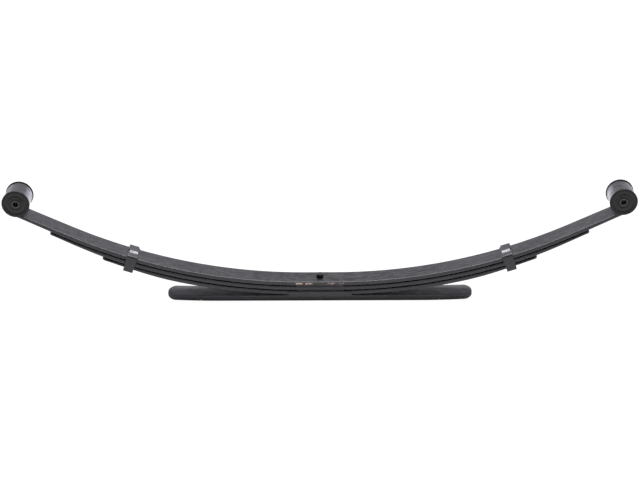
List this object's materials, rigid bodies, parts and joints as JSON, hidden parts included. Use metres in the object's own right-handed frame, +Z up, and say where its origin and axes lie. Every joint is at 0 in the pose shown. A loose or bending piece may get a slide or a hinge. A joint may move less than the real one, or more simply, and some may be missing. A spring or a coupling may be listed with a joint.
{
  "type": "leaf spring",
  "caption": "Arched multi-leaf suspension spring with rolled, bushed eyes, rebound clips and a flat overload leaf held by its centre bolt.",
  "frame": {"origin": "underside of the overload leaf, directly below the centre bolt, midway across the bars", "axes": "+X along the spring towards the rear eye, +Y across the bars, +Z up towards the eyes"},
  "size_m": [1.657, 0.075, 0.3219],
  "materials": {
    "leaf_paint": "satin black paint",
    "saddle_paint": "satin black paint",
    "liner_steel": "dark oiled steel",
    "bolt_black": "black phosphate",
    "clip_paint": "satin black paint",
    "clip_nylon": "pale grey nylon",
    "pad_plastic": "black slip pad",
    "bush_rubber": "moulded black rubber",
    "sleeve_steel": "dull zinc"
  },
  "bodies": {
    "leaf_pack": {"main_leaf": "leaf_paint", "second_leaf": "leaf_paint", "third_leaf": "leaf_paint", "overload_leaf": "leaf_paint", "pack_saddle": "saddle_paint", "upper_centre_liner": "liner_steel", "lower_centre_liner": "liner_steel", "centre_bolt": "bolt_black", "centre_nut": "bolt_black"},
    "front_arm": {"front_bush_left": "bush_rubber", "front_bush_right": "bush_rubber", "front_clip": "clip_paint", "front_clip_liner": "clip_nylon", "front_clip_rivet": "clip_paint", "second_leaf_front_pad": "pad_plastic", "third_leaf_front_pad": "pad_plastic"},
    "rear_arm": {"rear_bush_left": "bush_rubber", "rear_bush_right": "bush_rubber", "rear_clip": "clip_paint", "rear_clip_liner": "clip_nylon", "rear_clip_rivet": "clip_paint", "second_leaf_rear_pad": "pad_plastic", "third_leaf_rear_pad": "pad_plastic"},
    "front_sleeve": {"front_inner_sleeve": "sleeve_steel"},
    "rear_sleeve": {"rear_inner_sleeve": "sleeve_steel"}
  },
  "joints": [
    {"name": "front_arm_flex", "type": "hinge", "parent": "leaf_pack", "child": "front_arm", "pos_m": [-0.27, 0, 0.054], "axis": [0, -1, 0], "range_deg": [-3, 16], "stiffness_Nm_per_rad": 3600, "deforming": ["main_leaf", "second_leaf", "third_leaf"]},
    {"name": "rear_arm_flex", "type": "hinge", "parent": "leaf_pack", "child": "rear_arm", "pos_m": [0.27, 0, 0.054], "axis": [0, 1, 0], "range_deg": [-3, 16], "stiffness_Nm_per_rad": 3600, "deforming": ["main_leaf", "second_leaf", "third_leaf"]},
    {"name": "front_bushing_twist", "type": "hinge", "parent": "front_arm", "child": "front_sleeve", "pos_m": [-0.79192, 0, 0.28535], "axis": [0, 1, 0], "range_deg": [-40, 40]},
    {"name": "rear_bushing_twist", "type": "hinge", "parent": "rear_arm", "child": "rear_sleeve", "pos_m": [0.79192, 0, 0.28535], "axis": [0, 1, 0], "range_deg": [-40, 40]}
  ]
}
